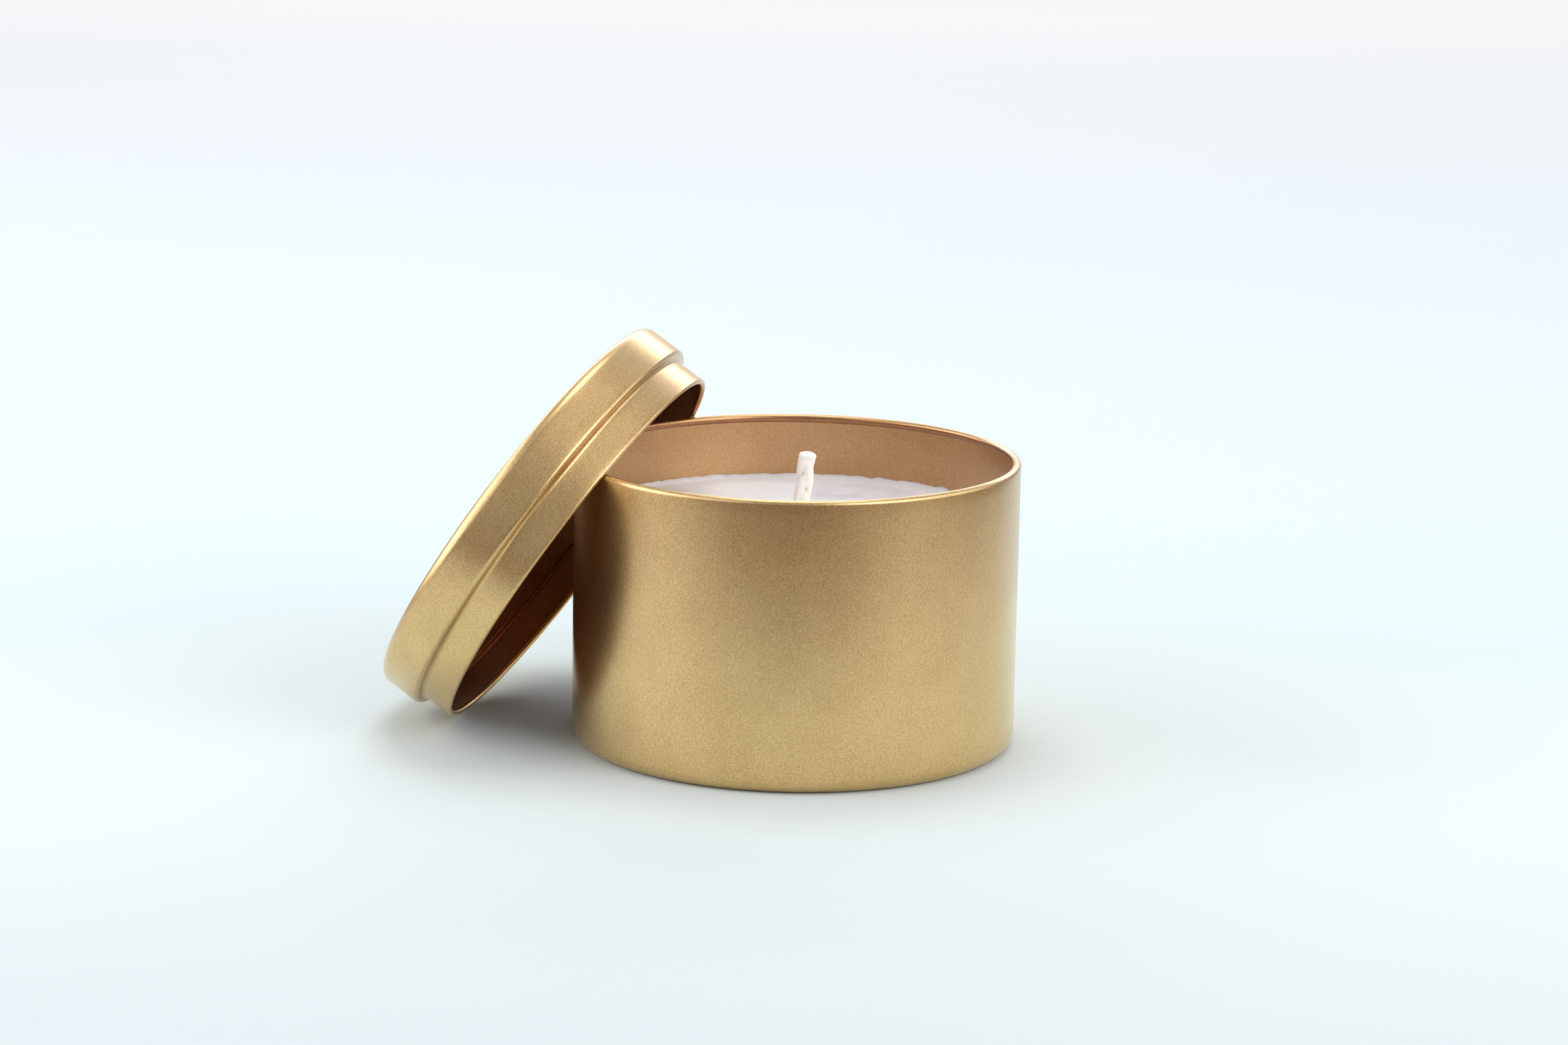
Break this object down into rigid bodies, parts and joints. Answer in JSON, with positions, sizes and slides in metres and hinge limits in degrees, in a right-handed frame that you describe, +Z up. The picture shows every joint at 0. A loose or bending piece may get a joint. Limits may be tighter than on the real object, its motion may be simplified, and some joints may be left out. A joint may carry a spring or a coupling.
{
  "type": "candle tin",
  "caption": "Round seamless candle tin with poured wax and a wick, and a stepped plug lid that leans on the mouth's rim.",
  "frame": {"origin": "centre of the ring that the tin stands on, in the plane of the table", "axes": "+Z up along the tin's axis, -X towards the leaning lid, whose own axis lies in the XZ plane"},
  "size_m": [0.1101, 0.077, 0.0697],
  "materials": {
    "gold_lacquer": "satin gold lacquer on drawn tinplate",
    "candle_wax": "white candle wax with a faint mottle",
    "wick_cotton": "waxed cotton braid",
    "tab_steel": "zinc-plated steel, stamped",
    "sticker_foam": "white adhesive foam"
  },
  "bodies": {
    "tin": {"tin_body": "gold_lacquer", "wax": "candle_wax", "wick": "wick_cotton", "wick_tab": "tab_steel", "wick_sticker": "sticker_foam"},
    "lid": {"lid": "gold_lacquer"}
  },
  "joints": [
    {"name": "lid_lift", "type": "slide", "parent": "tin", "child": "lid", "axis": [-0.8339, 0, 0.5519], "range_m": [0, 0.1]}
  ]
}
